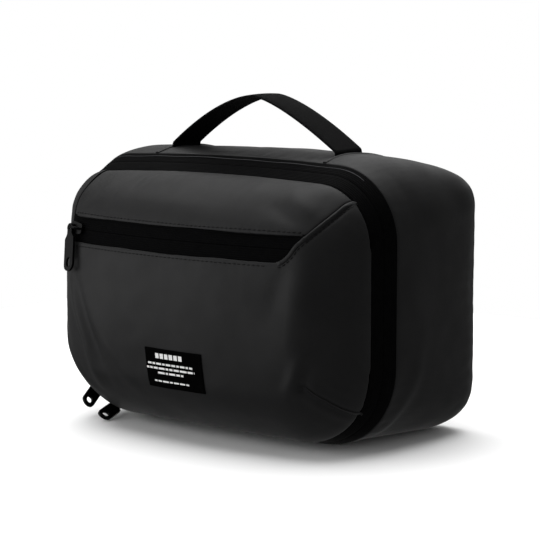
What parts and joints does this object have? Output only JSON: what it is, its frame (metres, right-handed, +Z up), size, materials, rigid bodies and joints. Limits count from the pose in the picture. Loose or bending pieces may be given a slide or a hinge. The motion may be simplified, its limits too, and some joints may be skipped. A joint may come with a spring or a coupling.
{
  "type": "shaving kit bag",
  "caption": "Clamshell wash bag in black coated cloth with a webbing handle, a wide main zip and a zipped front pocket.",
  "frame": {"origin": "on the ground under the middle of the bag", "axes": "+Z up, +X across the bag to the right as seen from its front, +Y towards its back"},
  "size_m": [0.2344, 0.1534, 0.2],
  "materials": {
    "shell_cloth": "coated nylon, soft sheen",
    "zip_tape": "fine ribbed woven tape, matte",
    "webbing": "woven webbing, matte",
    "lining_cloth": "plain woven lining, matte",
    "zip_coil": "nylon coil",
    "label": "woven label with pale marks",
    "slider_metal": "black painted zinc, satin"
  },
  "bodies": {
    "rear_half": {"rear_gusset": "shell_cloth", "rear_panel": "shell_cloth", "rear_lining": "lining_cloth", "rear_zip_tape": "zip_tape", "rear_zip_coil": "zip_coil", "rear_zip_coil_end": "zip_coil", "hinge_strip": "zip_tape", "handle_end_left": "webbing", "handle_end_right": "webbing"},
    "front_half": {"front_upper_panel": "shell_cloth", "front_lower_panel": "shell_cloth", "front_lining": "lining_cloth", "front_zip_tape": "zip_tape", "front_zip_coil": "zip_coil", "zip_end_tape": "zip_tape", "zip_end_coil": "zip_coil", "pocket_tape_upper": "zip_tape", "pocket_tape_lower": "zip_tape", "pocket_coil_upper": "zip_coil", "pocket_coil_lower": "zip_coil", "pocket_back": "lining_cloth", "label": "label"},
    "handle": {"handle_webbing": "webbing"},
    "pocket_slider_body": {"pocket_slider": "slider_metal"},
    "pocket_pull_body": {"pocket_pull": "slider_metal"},
    "main_slider_upper_body": {"main_slider_upper": "slider_metal"},
    "main_pull_upper_body": {"main_pull_upper": "slider_metal"},
    "main_slider_lower_body": {"main_slider_lower": "slider_metal"},
    "main_pull_lower_body": {"main_pull_lower": "slider_metal"}
  },
  "joints": [
    {"name": "front_opening", "type": "hinge", "parent": "rear_half", "child": "front_half", "pos_m": [0, -0.0213, 0], "axis": [1, 0, 0], "range_deg": [0, 180]},
    {"name": "handle_flex", "type": "hinge", "parent": "rear_half", "child": "handle", "pos_m": [0, 0.0137, 0.173], "axis": [1, 0, 0], "range_deg": [-18, 18], "stiffness_Nm_per_rad": 0.05},
    {"name": "pocket_zip", "type": "hinge", "parent": "front_half", "child": "pocket_slider_body", "pos_m": [0, 0.32887, 0.1195], "axis": [0, 0, 1], "range_deg": [0, 21.8]},
    {"name": "pocket_pull_swing", "type": "hinge", "parent": "pocket_slider_body", "child": "pocket_pull_body", "pos_m": [-0.08698, -0.06301, 0.12008], "axis": [-0.1995, -0.9476, 0.2494], "range_deg": [-150, 18]},
    {"name": "main_zip_upper", "type": "hinge", "parent": "front_half", "child": "main_slider_upper_body", "pos_m": [-0.065, -0.0213, 0.05], "axis": [0, 1, 0], "range_deg": [0, 17]},
    {"name": "main_pull_upper_swing", "type": "hinge", "parent": "main_slider_upper_body", "child": "main_pull_upper_body", "pos_m": [-0.1029, -0.02196, 0.01752], "axis": [-0.799, -0.1199, -0.5893], "range_deg": [-10, 65]},
    {"name": "main_zip_lower", "type": "hinge", "parent": "front_half", "child": "main_slider_lower_body", "pos_m": [-0.065, -0.0213, 0.05], "axis": [0, 1, 0], "range_deg": [-8, 0]},
    {"name": "main_pull_lower_swing", "type": "hinge", "parent": "main_slider_lower_body", "child": "main_pull_lower_body", "pos_m": [-0.08797, -0.02196, 0.00569], "axis": [-0.5253, -0.1189, -0.8425], "range_deg": [-60, 0]}
  ]
}
